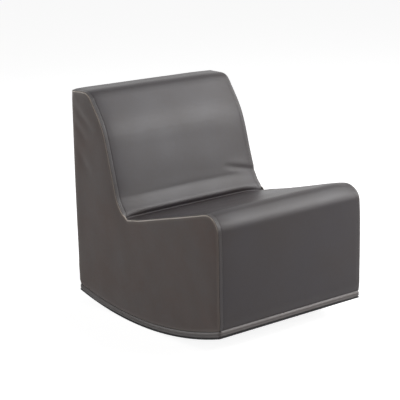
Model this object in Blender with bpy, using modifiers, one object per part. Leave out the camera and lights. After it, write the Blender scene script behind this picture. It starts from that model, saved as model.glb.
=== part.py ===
"""Floor rocker chair: a foam core on a curved base, in a sewn vinyl cover with a zip at the back.

Metres, +Z up. The sitter faces -Y and the curved base runs front to back, from -Y to +Y.
The origin is on the floor, midway between the outermost points front to back and side to side.
"""

import math

import bmesh
import bpy
from mathutils import Vector

# Overall size
WIDTH = 0.522
DEPTH = 0.667
HEIGHT = 0.648

# Curved base, seen from the side: an arc that touches the floor at REST_Y
ROCKER_RADIUS = 1.211
REST_Y = 0.040
REST_FACET = 0.030
SOLE_THICKNESS = 0.003
BASE_EDGE_HEIGHT = 0.020
BAND_THICKNESS = 0.005
BAND_ROUNDING = 0.0015

# Side profile of the cover at its side seams
SEAT_DEPTH = 0.415
SEAT_HEIGHT = 0.305
SEAT_SLOPE = math.radians(14.4)
SEAT_SAG_LENGTH = 0.060
SEAT_SAG_RISE = 0.0105
SEAT_SAG_RADIUS = 0.150
FRONT_EDGE_RADIUS = 0.046
CREASE_RADIUS = 0.014
FOOT_LENGTH = 0.0477
FOOT_SLOPE = math.radians(35.0)
FOOT_RADIUS = 0.100
BACK_RAKE = math.radians(15.5)
SHOULDER_DROP = 0.091
TOP_DEPTH = 0.080
SHOULDER_RADIUS = 0.215
TOP_EDGE_RADIUS = 0.043
WALL_STEP = 0.0022
SIDE_STEP = 0.0017
PINCH_DEPTH = 0.0022
PINCH_HEIGHT = 0.018

# Cover, and how far the foam fills it out between its seams
COVER_THICKNESS = 0.002
STRIP_CROWN = 0.0035
WALL_CROWN = 0.0018
CROWN_SHARPNESS = 8
CROWN_RUN = 0.060
CREASE_CROWN = 0.4
SIDE_CROWN = 0.0015
TUCK_GAP = 0.0008

# Foam core
BASE_FOAM_TOP = 0.190

# Zip along the foot of the rear panel
ZIP_OPENING = 0.0130
ZIP_END_MARGIN = 0.033
TAPE_THICKNESS = 0.0008
TAPE_WIDTH = 0.0145
TAPE_LAP = 0.0015
TEETH_HEIGHT = 0.0022
TEETH_THICKNESS = 0.0020
TEETH_SPACING = 0.0016
STOP_LENGTH = 0.0040
STOP_THICKNESS = 0.0016
SLIDER_LENGTH = 0.0105
SLIDER_PLATE = 0.0011
SLIDER_FLANGE = 0.0012
POST_LENGTH = 0.0030
POST_THICKNESS = 0.0009
BRIDGE_LENGTH = 0.0090
BRIDGE_WIDTH = 0.0018
BRIDGE_BAR = 0.0009
BRIDGE_ROOM = 0.0020
TAB_LENGTH = 0.0260
TAB_WIDTH = 0.0060
TAB_THICKNESS = 0.0011
TAB_RIM = 0.0011
TAB_EYE_WIDTH = 0.0034
TAB_EYE_LENGTH = 0.0062

# Clearances
GAP = 0.0003
SLIDER_GAP = 0.0004

# How finely round stretches and long straights are divided
ARC_STEP = math.radians(8.0)
LONGEST_CHORD = 0.012
LONGEST_SEGMENT = 0.048
PANEL_ROWS = 7
CROWN_STATIONS = (0.0, 0.3, 0.55, 0.75, 0.88, 0.96, 1.0)

# The zip's metal
METAL_GREY = (0.35, 0.35, 0.36)
METAL_ROUGHNESS = 0.35

# Places that follow from the sizes above
FRONT_Y = -DEPTH / 2
REAR_Y = DEPTH / 2
BAND_FACE_X = WIDTH / 2
SIDE_FACE_X = BAND_FACE_X - SIDE_STEP
STRIP_EDGE_X = SIDE_FACE_X - COVER_THICKNESS - GAP
BAND_INSIDE_X = BAND_FACE_X - BAND_THICKNESS - GAP
FRONT_WALL_Y = FRONT_Y + WALL_STEP
REAR_WALL_Y = REAR_Y - WALL_STEP
FOAM_INSET = COVER_THICKNESS + 2 * GAP
CREASE_Y = FRONT_Y + SEAT_DEPTH
SOLE_TOP_RADIUS = ROCKER_RADIUS - SOLE_THICKNESS
BAND_TOP_RADIUS = ROCKER_RADIUS - BASE_EDGE_HEIGHT
WALL_FOOT_RADIUS = BAND_TOP_RADIUS - GAP
SEAM_TOP_Z = HEIGHT - STRIP_CROWN
FACET_ANGLE = 2 * math.atan(REST_FACET / 2 / ROCKER_RADIUS)


def arc_height(y, radius):
    """Height of an arc about the rocker's centre line, at a distance y from the origin."""
    return ROCKER_RADIUS - math.sqrt(radius**2 - (y - REST_Y) ** 2)


REAR_BAND_TOP_Z = arc_height(REAR_Y, BAND_TOP_RADIUS)
ZIP_FOOT_Z = REAR_BAND_TOP_Z + GAP
ZIP_HEAD_Z = ZIP_FOOT_Z + ZIP_OPENING
ZIP_CENTRE_Z = (ZIP_FOOT_Z + ZIP_HEAD_Z) / 2
LOWER_TEETH_Z = ZIP_CENTRE_Z - TEETH_SPACING / 2
UPPER_TEETH_Z = ZIP_CENTRE_Z + TEETH_SPACING / 2
ZIP_HALF = WIDTH / 2 - ZIP_END_MARGIN
TAPE_FACE_Y = REAR_WALL_Y - PINCH_DEPTH - COVER_THICKNESS - GAP
FOAM_REBATE_Y = TAPE_FACE_Y - TAPE_THICKNESS - SLIDER_PLATE - 2 * SLIDER_GAP
FOAM_REBATE_TOP_Z = UPPER_TEETH_Z + TAPE_LAP + TAPE_WIDTH + GAP


def material(name, colour, roughness, metallic=0.0):
    """A plain surface finish for one piece."""
    finish = bpy.data.materials.new(name)
    finish.use_nodes = True
    shader = finish.node_tree.nodes["Principled BSDF"]
    shader.inputs["Base Color"].default_value = (*colour, 1.0)
    shader.inputs["Roughness"].default_value = roughness
    shader.inputs["Metallic"].default_value = metallic
    return finish


def add_object(name, mesh, finish, collection):
    """Put a mesh in a collection as an object with one finish."""
    mesh.materials.clear()
    mesh.materials.append(finish)
    made = bpy.data.objects.new(name, mesh)
    collection.objects.link(made)
    return made


def rounded_path(corners):
    """Points along straight runs between corners, each corner (y, z, radius) rounded by an arc."""
    points = [Vector(corners[0][:2])]
    for before, corner, after in zip(corners, corners[1:], corners[2:]):
        centre = Vector(corner[:2])
        back = (Vector(before[:2]) - centre).normalized()
        ahead = (Vector(after[:2]) - centre).normalized()
        radius = corner[2]
        turn = math.pi - back.angle(ahead)
        if radius == 0.0 or turn < 0.001:
            points.append(centre)
            continue
        reach = radius * math.tan(turn / 2)
        middle = centre + (back + ahead).normalized() * (radius / math.cos(turn / 2))
        start = centre + back * reach - middle
        side = math.copysign(1.0, ahead.x * back.y - ahead.y * back.x)
        finest = max(turn / ARC_STEP, turn * radius / LONGEST_CHORD)
        steps = 2 * max(1, round(finest / 2))
        for step in range(steps + 1):
            angle = side * turn * step / steps
            cosine, sine = math.cos(angle), math.sin(angle)
            spoke = Vector((start.x * cosine - start.y * sine, start.x * sine + start.y * cosine))
            points.append(middle + spoke)
    points.append(Vector(corners[-1][:2]))
    return points


def divided(points):
    """The same path with its long straights cut into shorter, equal ones."""
    result = [points[0]]
    for start, end in zip(points, points[1:]):
        count = max(1, math.ceil((end - start).length / LONGEST_SEGMENT - 0.01))
        result += [start.lerp(end, step / count) for step in range(1, count + 1)]
    return result


def with_normals(points, lowest_front, lowest_rear):
    """Each path point with its outward normal and how far the crown may push it out, 0 to 1."""
    result = []
    for index, point in enumerate(points):
        before = points[max(0, index - 1)]
        after = points[min(len(points) - 1, index + 1)]
        along = (point - before).normalized() + (after - point).normalized()
        normal = Vector((-along.y, along.x))
        lowest = lowest_front if point.x < REST_Y else lowest_rear
        weight = min(1.0, max(0.0, (point.y - lowest) / CROWN_RUN))
        inward = min(1.0, (REAR_WALL_Y - abs(point.x)) / CROWN_RUN)
        weight *= inward + (1 - inward) * WALL_CROWN / STRIP_CROWN
        fold = min(1.0, abs(point.x - CREASE_Y) / CROWN_RUN)
        if SEAT_HEIGHT - CROWN_RUN < point.y < SEAT_HEIGHT + CROWN_RUN:
            weight *= CREASE_CROWN + (1 - CREASE_CROWN) * fold
        result.append((point, normal.normalized(), weight))
    return result


def seat_outline():
    """The cover's line at a side seam: up the front, over its edge and down the seat to the crease."""
    foot_z = arc_height(FRONT_WALL_Y + PINCH_DEPTH, WALL_FOOT_RADIUS)
    sag_y = CREASE_Y - SEAT_SAG_LENGTH
    sag_z = SEAT_HEIGHT + SEAT_SAG_RISE
    edge_z = sag_z + (sag_y - FRONT_WALL_Y) * math.tan(SEAT_SLOPE)
    return [
        (FRONT_WALL_Y + PINCH_DEPTH, foot_z, 0.0),
        (FRONT_WALL_Y, foot_z + PINCH_HEIGHT, 0.0),
        (FRONT_WALL_Y, BASE_FOAM_TOP, 0.0),
        (FRONT_WALL_Y, edge_z, FRONT_EDGE_RADIUS),
        (sag_y, sag_z, SEAT_SAG_RADIUS),
        (CREASE_Y, SEAT_HEIGHT, CREASE_RADIUS),
    ]


def back_outline():
    """The cover's line at a side seam: from the crease up the backrest and back to its top edge."""
    foot_y = CREASE_Y + FOOT_LENGTH * math.cos(FOOT_SLOPE)
    foot_z = SEAT_HEIGHT + FOOT_LENGTH * math.sin(FOOT_SLOPE)
    shoulder_z = SEAM_TOP_Z - SHOULDER_DROP
    shoulder_y = foot_y + (shoulder_z - foot_z) * math.tan(BACK_RAKE)
    return [
        (foot_y, foot_z, FOOT_RADIUS),
        (shoulder_y, shoulder_z, SHOULDER_RADIUS),
        (REAR_WALL_Y - TOP_DEPTH, SEAM_TOP_Z, TOP_EDGE_RADIUS),
        (REAR_WALL_Y, SEAM_TOP_Z, 0.0),
    ]


def rear_outline():
    """The cover's line at a side seam: down the rear, turned in where it meets the zip."""
    return [
        (REAR_WALL_Y, SEAM_TOP_Z - COVER_THICKNESS - GAP, 0.0),
        (REAR_WALL_Y, BASE_FOAM_TOP, 0.0),
        (REAR_WALL_Y, FOAM_REBATE_TOP_Z, 0.0),
        (REAR_WALL_Y - PINCH_DEPTH, ZIP_HEAD_Z, 0.0),
    ]


def cover_lines():
    """The seat's, the backrest's and the rear panel's lines, with normals and crown weights."""
    whole = divided(rounded_path(seat_outline() + back_outline()))
    lowest_front = whole[0].y
    crease = min(range(len(whole)), key=lambda index: abs(whole[index].x - CREASE_Y))
    front_and_back = with_normals(whole, lowest_front, ZIP_HEAD_Z)
    seat = front_and_back[: crease + 1]
    back = front_and_back[crease:]
    rear = with_normals(divided(rounded_path(rear_outline())), lowest_front, ZIP_HEAD_Z)
    return seat, back, rear


SEAT_LINE, BACK_LINE, REAR_LINE = cover_lines()


def crown_stations(half_width):
    """Places across the chair, closer together towards the side seams."""
    right = [share * half_width for share in CROWN_STATIONS]
    return [-x for x in reversed(right[1:])] + right


def crown(x):
    """How far the filling pushes the cover out at a distance x from the middle."""
    return STRIP_CROWN * (1 - abs(x / STRIP_EDGE_X) ** CROWN_SHARPNESS)


def loft(name, rows, closed, finish, collection):
    """Quads between equal rows of points. Closed rows are rings, and the ends are capped."""
    bm = bmesh.new()
    lines = [[bm.verts.new(point) for point in row] for row in rows]
    for row, following in zip(lines, lines[1:]):
        count = len(row)
        for index in range(count if closed else count - 1):
            after = (index + 1) % count
            bm.faces.new((row[index], following[index], following[after], row[after]))
    if closed:
        bm.faces.new(lines[0])
        bm.faces.new(reversed(lines[-1]))
        bmesh.ops.recalc_face_normals(bm, faces=bm.faces)
    mesh = bpy.data.meshes.new(name)
    bm.to_mesh(mesh)
    bm.free()
    return add_object(name, mesh, finish, collection)


def solidify(made, thickness):
    """Give an open surface its thickness, inwards from its outer face."""
    modifier = made.modifiers.new("thickness", "SOLIDIFY")
    modifier.thickness = thickness
    modifier.offset = -1.0
    modifier.use_even_offset = True


def strip_panel(name, line, finish, collection):
    """A cover panel that runs from side seam to side seam along a line of the profile."""
    rows = []
    for x in crown_stations(STRIP_EDGE_X):
        row = []
        for point, normal, weight in line:
            place = point + normal * crown(x) * weight
            row.append((x, place.x, place.y))
        rows.append(row)
    made = loft(name, rows, False, finish, collection)
    solidify(made, COVER_THICKNESS)
    made.data.shade_smooth()
    return made


def shifted_end(line, index, shift):
    """The same line with one of its ends moved front to back."""
    point, normal, weight = line[index]
    ended = list(line)
    ended[index] = (point + Vector((shift, 0.0)), normal, weight)
    return ended


def side_top_line():
    """The upper seam of a side panel, from the top of the front wall to the rear wall."""
    line = [point for point, normal, weight in SEAT_LINE + BACK_LINE[1:]]
    last_on_wall = max(i for i, point in enumerate(line) if point.x < FRONT_WALL_Y + GAP)
    return line[last_on_wall:]


def side_panel(name, side, finish, collection):
    """A side of the cover, crowned between its seams. Side is 1 for +X and -1 for -X."""
    foot_front = FRONT_WALL_Y + PINCH_DEPTH
    foot_rear = REAR_WALL_Y - PINCH_DEPTH
    run = REAR_WALL_Y - FRONT_WALL_Y
    columns = []
    for top in side_top_line():
        along = (top.x - FRONT_WALL_Y) / run
        foot_y = foot_front + (foot_rear - foot_front) * along
        foot_z = arc_height(foot_y, WALL_FOOT_RADIUS)
        column = [(foot_y, foot_z)]
        for step in range(PANEL_ROWS + 1):
            height = step / PANEL_ROWS
            z = foot_z + PINCH_HEIGHT + (top.y - foot_z - PINCH_HEIGHT) * height
            column.append((top.x, z))
        rows = []
        for step, (y, z) in enumerate(column):
            up = 2 * step / (len(column) - 1) - 1
            bulge = (1 - abs(2 * along - 1) ** CROWN_SHARPNESS) * (1 - abs(up) ** CROWN_SHARPNESS)
            rows.append((side * (SIDE_FACE_X + SIDE_CROWN * bulge), y, z))
        columns.append(rows)
    if side < 0:
        columns.reverse()
    made = loft(name, columns, False, finish, collection)
    solidify(made, COVER_THICKNESS)
    made.data.shade_smooth()
    return made


def foam_block(name, covered, inner, finish, collection):
    """A foam block that fills out the cover along one line and has flat faces elsewhere."""
    rows = []
    for x in crown_stations(STRIP_EDGE_X):
        row = []
        for point, normal, weight in covered:
            place = point + normal * (crown(x) * weight - FOAM_INSET)
            row.append((x, place.x, place.y))
        row += [(x, y, z) for y, z in inner]
        rows.append(row)
    return loft(name, rows, True, finish, collection)


def base_foam(finish, collection):
    """The lower block, with the rocker's curve under it and a rebate for the zip."""
    front = [entry for entry in SEAT_LINE if entry[0].y < BASE_FOAM_TOP + GAP]
    rear = [entry for entry in REAR_LINE if entry[0].y < BASE_FOAM_TOP + GAP][:-1]
    rows = []
    for x in crown_stations(STRIP_EDGE_X):
        row = []
        for point, normal, weight in front + rear:
            place = point + normal * (crown(x) * weight - FOAM_INSET)
            row.append((x, place.x, min(place.y, BASE_FOAM_TOP)))
        row[0] = (x, row[0][1], arc_height(row[0][1], WALL_FOOT_RADIUS))
        row.append((x, FOAM_REBATE_Y, row[-1][2]))
        foot = facet_arc(WALL_FOOT_RADIUS, row[0][1], FOAM_REBATE_Y)
        row += [(x, y, z) for y, z in reversed(foot[1:])]
        rows.append(row)
    return loft("base_foam", rows, True, finish, collection)


def facet_arc(radius, start_y, end_y):
    """Points of a faceted arc about the rocker's centre, with one flat facet level at REST_Y."""
    points = [(start_y, arc_height(start_y, radius))]
    corner_radius = radius / math.cos(FACET_ANGLE / 2)
    first = math.ceil(math.asin((start_y - REST_Y) / corner_radius) / FACET_ANGLE - 0.5)
    last = math.floor(math.asin((end_y - REST_Y) / corner_radius) / FACET_ANGLE - 0.5)
    for index in range(first, last + 1):
        angle = (index + 0.5) * FACET_ANGLE
        y = REST_Y + corner_radius * math.sin(angle)
        if start_y + GAP < y < end_y - GAP:
            points.append((y, ROCKER_RADIUS - corner_radius * math.cos(angle)))
    points.append((end_y, arc_height(end_y, radius)))
    return points


def extruded(name, outlines, centre, thickness, turn, finish, collection):
    """A flat outline, with any holes, given a thickness and turned to its place, as a mesh."""
    curve = bpy.data.curves.new(name, "CURVE")
    curve.dimensions = "2D"
    curve.fill_mode = "BOTH"
    curve.extrude = thickness / 2
    for outline in outlines:
        spline = curve.splines.new("POLY")
        spline.points.add(len(outline) - 1)
        for point, (u, v) in zip(spline.points, outline):
            point.co = (u, v, 0.0, 1.0)
        spline.use_cyclic_u = True
    guide = bpy.data.objects.new(name, curve)
    collection.objects.link(guide)
    guide.location = centre
    guide.rotation_euler = turn
    bpy.context.view_layer.update()
    evaluated = guide.evaluated_get(bpy.context.evaluated_depsgraph_get())
    mesh = bpy.data.meshes.new_from_object(evaluated)
    place = guide.matrix_world.copy()
    bpy.data.objects.remove(guide)
    bpy.data.curves.remove(curve)
    bm = bmesh.new()
    bm.from_mesh(mesh)
    bmesh.ops.remove_doubles(bm, verts=bm.verts, dist=0.00001)
    bmesh.ops.recalc_face_normals(bm, faces=bm.faces)
    bm.to_mesh(mesh)
    bm.free()
    mesh.name = name
    made = add_object(name, mesh, finish, collection)
    made.matrix_world = place
    return made


ACROSS = (math.pi / 2, 0.0, math.pi / 2)
FACING_REAR = (math.pi / 2, 0.0, 0.0)


def arc_slab(name, low, high, start_y, end_y, centre_x, width, finish, collection):
    """A strip between two arcs about the rocker's centre, extruded across the chair."""
    under = facet_arc(low, start_y, end_y)
    over = facet_arc(high, start_y, end_y)
    outline = under + list(reversed(over))
    return extruded(name, [outline], (centre_x, 0.0, 0.0), width, ACROSS, finish, collection)


def bevel(made, width, segments):
    """Round the sharp edges of a piece."""
    modifier = made.modifiers.new("rounding", "BEVEL")
    modifier.limit_method = "ANGLE"
    modifier.angle_limit = math.radians(50.0)
    modifier.width = width
    modifier.segments = segments


def box(name, low, high, finish, collection):
    """A rectangular block between two corners, with its origin at its centre."""
    centre = (Vector(low) + Vector(high)) / 2
    size = Vector(high) - Vector(low)
    bm = bmesh.new()
    bmesh.ops.create_cube(bm, size=1.0)
    bmesh.ops.scale(bm, vec=size, verts=bm.verts)
    mesh = bpy.data.meshes.new(name)
    bm.to_mesh(mesh)
    bm.free()
    made = add_object(name, mesh, finish, collection)
    made.location = centre
    return made


def build_base(parts):
    """The sole, the firm slab above it and the band sewn round their edge."""
    sole = material("sole_black", (0.03, 0.03, 0.032), 0.85)
    dense = material("firm_foam", (0.10, 0.10, 0.11), 0.9)
    vinyl = material("band_vinyl", (0.135, 0.128, 0.130), 0.5)
    sole_inset = BAND_ROUNDING
    arc_slab(
        "bottom_panel",
        ROCKER_RADIUS,
        SOLE_TOP_RADIUS,
        FRONT_Y + sole_inset,
        REAR_Y - sole_inset,
        0.0,
        WIDTH - 2 * sole_inset,
        sole,
        parts,
    )
    slab_rear = TAPE_FACE_Y - TAPE_THICKNESS - GAP
    arc_slab(
        "rocker_base_slab",
        SOLE_TOP_RADIUS - GAP,
        BAND_TOP_RADIUS,
        FRONT_Y + BAND_THICKNESS + GAP,
        slab_rear,
        0.0,
        2 * BAND_INSIDE_X,
        dense,
        parts,
    )
    ends = {
        "front_base_band": (FRONT_Y, FRONT_Y + BAND_THICKNESS),
        "rear_base_band": (REAR_Y - BAND_THICKNESS, REAR_Y),
    }
    for name, (start_y, end_y) in ends.items():
        band = arc_slab(
            name,
            SOLE_TOP_RADIUS - GAP,
            BAND_TOP_RADIUS,
            start_y,
            end_y,
            0.0,
            WIDTH,
            vinyl,
            parts,
        )
        bevel(band, BAND_ROUNDING, 2)
    for name, side in (("left_base_band", -1), ("right_base_band", 1)):
        band = arc_slab(
            name,
            SOLE_TOP_RADIUS - GAP,
            BAND_TOP_RADIUS,
            FRONT_Y + BAND_THICKNESS + GAP,
            REAR_Y - BAND_THICKNESS - GAP,
            side * (BAND_FACE_X - BAND_THICKNESS / 2),
            BAND_THICKNESS,
            vinyl,
            parts,
        )
        bevel(band, BAND_ROUNDING, 1)


def build_core(parts):
    """The three foam blocks: base, seat and backrest."""
    foam = material("core_foam", (0.62, 0.58, 0.48), 0.95)
    base_foam(foam, parts)
    floor = BASE_FOAM_TOP + GAP
    crease_y = SEAT_LINE[-1][0].x
    seat = [entry for entry in SEAT_LINE if entry[0].y > BASE_FOAM_TOP - GAP]
    front_y = seat[0][0].x + FOAM_INSET
    seat = [entry for entry in seat if entry[0].y > floor + GAP]
    seat = shifted_end(seat, -1, -TUCK_GAP / 2)
    foot = [(crease_y - TUCK_GAP / 2, floor), (front_y, floor)]
    foam_block("seat_foam", seat, foot, foam, parts)
    back = shifted_end(BACK_LINE, 0, TUCK_GAP / 2)[:-1]
    corner = REAR_WALL_Y - FOAM_INSET
    top = SEAM_TOP_Z - FOAM_INSET
    rear = [(corner, top), (corner, floor), (crease_y + TUCK_GAP / 2, floor)]
    foam_block("backrest_foam", back, rear, foam, parts)


def build_cover(parts):
    """The sewn cover: one long strip in three panels, between two side panels."""
    strip = material("strip_vinyl", (0.155, 0.148, 0.150), 0.45)
    sides = material("side_vinyl", (0.105, 0.096, 0.092), 0.5)
    strip_panel("seat_panel", shifted_end(SEAT_LINE, -1, -TUCK_GAP / 2), strip, parts)
    strip_panel("backrest_panel", shifted_end(BACK_LINE, 0, TUCK_GAP / 2), strip, parts)
    strip_panel("rear_panel", REAR_LINE, strip, parts)
    side_panel("left_side_panel", -1, sides, parts)
    side_panel("right_side_panel", 1, sides, parts)


TEETH_Y = TAPE_FACE_Y + GAP
TEETH_FACE_Y = TEETH_Y + TEETH_THICKNESS
SLIDER_REST_X = ZIP_HALF - SLIDER_LENGTH / 2 - SLIDER_GAP
SLIDER_HALF_WIDTH = TEETH_SPACING / 2 + TEETH_HEIGHT + SLIDER_GAP + SLIDER_FLANGE
OUTER_PLATE_Y = TEETH_FACE_Y + SLIDER_GAP
TAB_AXIS_Y = OUTER_PLATE_Y + SLIDER_PLATE + BRIDGE_ROOM / 2


def build_zip_tapes(parts):
    """The two tapes, their rows of teeth and the stops at the ends."""
    woven = material("zip_tape", (0.03, 0.03, 0.032), 0.9)
    teeth = material("zip_teeth", (0.05, 0.05, 0.055), 0.4)
    metal = material("zip_metal", METAL_GREY, METAL_ROUGHNESS, 1.0)
    near, far = TAPE_FACE_Y - TAPE_THICKNESS, TAPE_FACE_Y
    end = BAND_INSIDE_X
    lower_edge = LOWER_TEETH_Z - TAPE_LAP
    upper_edge = UPPER_TEETH_Z + TAPE_LAP
    box("zip_lower_tape", (-end, near, lower_edge - TAPE_WIDTH), (end, far, lower_edge), woven, parts)
    box("zip_upper_tape", (-end, near, upper_edge), (end, far, upper_edge + TAPE_WIDTH), woven, parts)
    rows = {
        "zip_lower_teeth": (LOWER_TEETH_Z - TEETH_HEIGHT, LOWER_TEETH_Z),
        "zip_upper_teeth": (UPPER_TEETH_Z, UPPER_TEETH_Z + TEETH_HEIGHT),
    }
    for name, (low_z, high_z) in rows.items():
        low = (-ZIP_HALF, TEETH_Y, low_z)
        high = (ZIP_HALF, TEETH_FACE_Y, high_z)
        box(name, low, high, teeth, parts)
    start = ZIP_HALF + GAP
    stops = {
        "zip_lower_top_stop": (start, LOWER_TEETH_Z - TEETH_HEIGHT, LOWER_TEETH_Z),
        "zip_upper_top_stop": (start, UPPER_TEETH_Z, UPPER_TEETH_Z + TEETH_HEIGHT),
        "zip_bottom_stop": (
            -start - STOP_LENGTH,
            LOWER_TEETH_Z - TEETH_HEIGHT,
            UPPER_TEETH_Z + TEETH_HEIGHT,
        ),
    }
    for name, (low_x, low_z, high_z) in stops.items():
        low = (low_x, TEETH_Y, low_z)
        high = (low_x + STOP_LENGTH, TEETH_Y + STOP_THICKNESS, high_z)
        box(name, low, high, metal, parts)


def build_slider(parts, shapes):
    """The slider: two plates joined by a post, with flanges beside the teeth and a bridge."""
    metal = material("slider_metal", METAL_GREY, METAL_ROUGHNESS, 1.0)
    left = SLIDER_REST_X - SLIDER_LENGTH / 2
    right = SLIDER_REST_X + SLIDER_LENGTH / 2
    low_z = ZIP_CENTRE_Z - SLIDER_HALF_WIDTH
    high_z = ZIP_CENTRE_Z + SLIDER_HALF_WIDTH
    plate_out = OUTER_PLATE_Y + SLIDER_PLATE
    inner_y = TAPE_FACE_Y - TAPE_THICKNESS - SLIDER_GAP
    flange_y = TAPE_FACE_Y + SLIDER_GAP
    slider = box("zip_slider", (left, OUTER_PLATE_Y, low_z), (right, plate_out, high_z), metal, parts)
    overlap = SLIDER_PLATE / 2
    post_left = right - POST_LENGTH
    post_low = ZIP_CENTRE_Z - POST_THICKNESS / 2
    post_high = ZIP_CENTRE_Z + POST_THICKNESS / 2
    bridge_out = plate_out + BRIDGE_ROOM + BRIDGE_BAR
    bridge_low = ZIP_CENTRE_Z - BRIDGE_WIDTH / 2
    bridge_high = ZIP_CENTRE_Z + BRIDGE_WIDTH / 2
    bridge_left = SLIDER_REST_X - BRIDGE_LENGTH / 2
    bridge_right = SLIDER_REST_X + BRIDGE_LENGTH / 2
    pieces = {
        "inner_plate": ((left, inner_y - SLIDER_PLATE, low_z), (right, inner_y, high_z)),
        "post": ((post_left, inner_y - overlap, post_low), (right, plate_out - overlap, post_high)),
        "lower_flange": ((left, flange_y, low_z), (right, plate_out - overlap, low_z + SLIDER_FLANGE)),
        "upper_flange": (
            (left, flange_y, high_z - SLIDER_FLANGE),
            (right, plate_out - overlap, high_z),
        ),
        "bridge_left_foot": (
            (bridge_left, plate_out - overlap, bridge_low),
            (bridge_left + BRIDGE_BAR, bridge_out, bridge_high),
        ),
        "bridge_right_foot": (
            (bridge_right - BRIDGE_BAR, plate_out - overlap, bridge_low),
            (bridge_right, bridge_out, bridge_high),
        ),
        "bridge_bar": (
            (bridge_left, bridge_out - BRIDGE_BAR, bridge_low),
            (bridge_right, bridge_out, bridge_high),
        ),
    }
    for name, (low, high) in pieces.items():
        piece = box(name, low, high, metal, shapes)
        piece.hide_render = True
        piece.display_type = "WIRE"
    join = slider.modifiers.new("slider_pieces", "BOOLEAN")
    join.operation = "UNION"
    join.operand_type = "COLLECTION"
    join.collection = shapes
    return slider


def build_pull_tab(parts, slider):
    """The pull tab: a flat tag whose eye goes round the bridge. Its origin is on its hinge axis."""
    metal = material("tab_metal", METAL_GREY, METAL_ROUGHNESS, 1.0)
    half = TAB_WIDTH / 2
    rim = TAB_RIM / 2
    corner = TAB_WIDTH / 4
    outer = rounded_path(
        [
            (0.0, -half, 0.0),
            (rim, -half, 0.0),
            (rim, half, 0.0),
            (rim - TAB_LENGTH, half, corner),
            (rim - TAB_LENGTH, -half, corner),
            (0.0, -half, 0.0),
        ]
    )[:-1]
    eye_half = TAB_EYE_WIDTH / 2
    eye = [
        (-rim, -eye_half),
        (-rim, eye_half),
        (-rim - TAB_EYE_LENGTH, eye_half),
        (-rim - TAB_EYE_LENGTH, -eye_half),
    ]
    outline = [(point.x, point.y) for point in outer]
    centre = (SLIDER_REST_X, TAB_AXIS_Y, ZIP_CENTRE_Z)
    tab = extruded(
        "zip_pull_tab", [outline, eye], centre, TAB_THICKNESS, FACING_REAR, metal, parts
    )
    bpy.context.view_layer.update()
    tab.parent = slider
    tab.matrix_parent_inverse = slider.matrix_world.inverted()
    return tab


def new_collection(name):
    """A named group of objects in the scene."""
    made = bpy.data.collections.new(name)
    bpy.context.scene.collection.children.link(made)
    return made


def build():
    """Make the whole chair."""
    for leftover in list(bpy.data.objects):
        bpy.data.objects.remove(leftover)
    parts = new_collection("floor_rocker_chair")
    shapes = new_collection("slider_pieces")
    build_base(parts)
    build_core(parts)
    build_cover(parts)
    build_zip_tapes(parts)
    slider = build_slider(parts, shapes)
    build_pull_tab(parts, slider)


build()
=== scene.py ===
"""Looks of the floor rocker chair: sewn vinyl over foam, on a curved base with a rear zip."""

import math
from types import SimpleNamespace

import bmesh
import bpy
import numpy as np
from mathutils import Matrix, Vector, geometry, kdtree, noise


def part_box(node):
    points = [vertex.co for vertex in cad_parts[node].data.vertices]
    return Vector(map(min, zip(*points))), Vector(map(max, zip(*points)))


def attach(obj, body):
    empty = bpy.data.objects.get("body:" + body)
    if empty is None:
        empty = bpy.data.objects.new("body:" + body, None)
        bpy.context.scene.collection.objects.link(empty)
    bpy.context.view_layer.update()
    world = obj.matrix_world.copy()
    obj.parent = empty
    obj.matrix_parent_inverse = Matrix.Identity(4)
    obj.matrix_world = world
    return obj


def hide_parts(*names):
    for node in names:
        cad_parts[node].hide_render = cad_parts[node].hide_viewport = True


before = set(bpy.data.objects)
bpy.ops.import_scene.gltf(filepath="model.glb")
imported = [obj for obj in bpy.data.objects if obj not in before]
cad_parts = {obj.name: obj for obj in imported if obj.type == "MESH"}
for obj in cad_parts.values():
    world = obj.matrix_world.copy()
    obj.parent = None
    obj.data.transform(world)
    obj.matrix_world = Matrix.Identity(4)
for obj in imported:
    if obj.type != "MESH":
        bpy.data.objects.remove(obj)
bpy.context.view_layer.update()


# Sole and firm slab
# The sole is a thin black non-slip sheet with fine raised dots, glued under a slab of firm foam.
# Both keep their CAD shapes: the slab is hidden between the sole, the band and the foam core.

SOLE_COLOUR = (0.030, 0.030, 0.032)
SLAB_COLOUR = (0.075, 0.075, 0.080)
DOT_SPACING = 0.006


def blank_material(name):
    """A new Principled material, with its tree and its shader."""
    material = bpy.data.materials.new(name)
    material.use_nodes = True
    tree = material.node_tree
    return material, tree, tree.nodes["Principled BSDF"]


def set_inputs(tree, node, **values):
    """Set a node's inputs by name, or link them where the value is a socket."""
    for name, value in values.items():
        socket = node.inputs[name.replace("_", " ")]
        if isinstance(value, bpy.types.NodeSocket):
            tree.links.new(value, socket)
        else:
            socket.default_value = value


def add_node(tree, kind, **values):
    """A new node with its inputs set or linked by name."""
    node = tree.nodes.new(kind)
    set_inputs(tree, node, **values)
    return node


def object_place(tree):
    """The Object coordinates of the surface."""
    return tree.nodes.new("ShaderNodeTexCoord").outputs["Object"]


def dress(tree, shader, tint, roughness, height, strength, distance):
    """Give a shader its colour and its roughness, and raise the surface by a height map."""
    bump = add_node(tree, "ShaderNodeBump", Height=height, Strength=strength, Distance=distance)
    set_inputs(tree, shader, Base_Color=tint, Roughness=roughness, Normal=bump.outputs["Normal"])


def ranged(tree, value, start, end):
    """A value moved from its range to another."""
    moved = add_node(tree, "ShaderNodeMapRange", Value=value, From_Min=start[0], From_Max=start[1])
    set_inputs(tree, moved, To_Min=end[0], To_Max=end[1])
    return moved.outputs["Result"]


def noise_map(tree, place, scale, detail):
    """Cloudy noise, from 0 to 1."""
    return add_node(tree, "ShaderNodeTexNoise", Vector=place, Scale=scale, Detail=detail).outputs["Fac"]


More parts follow.
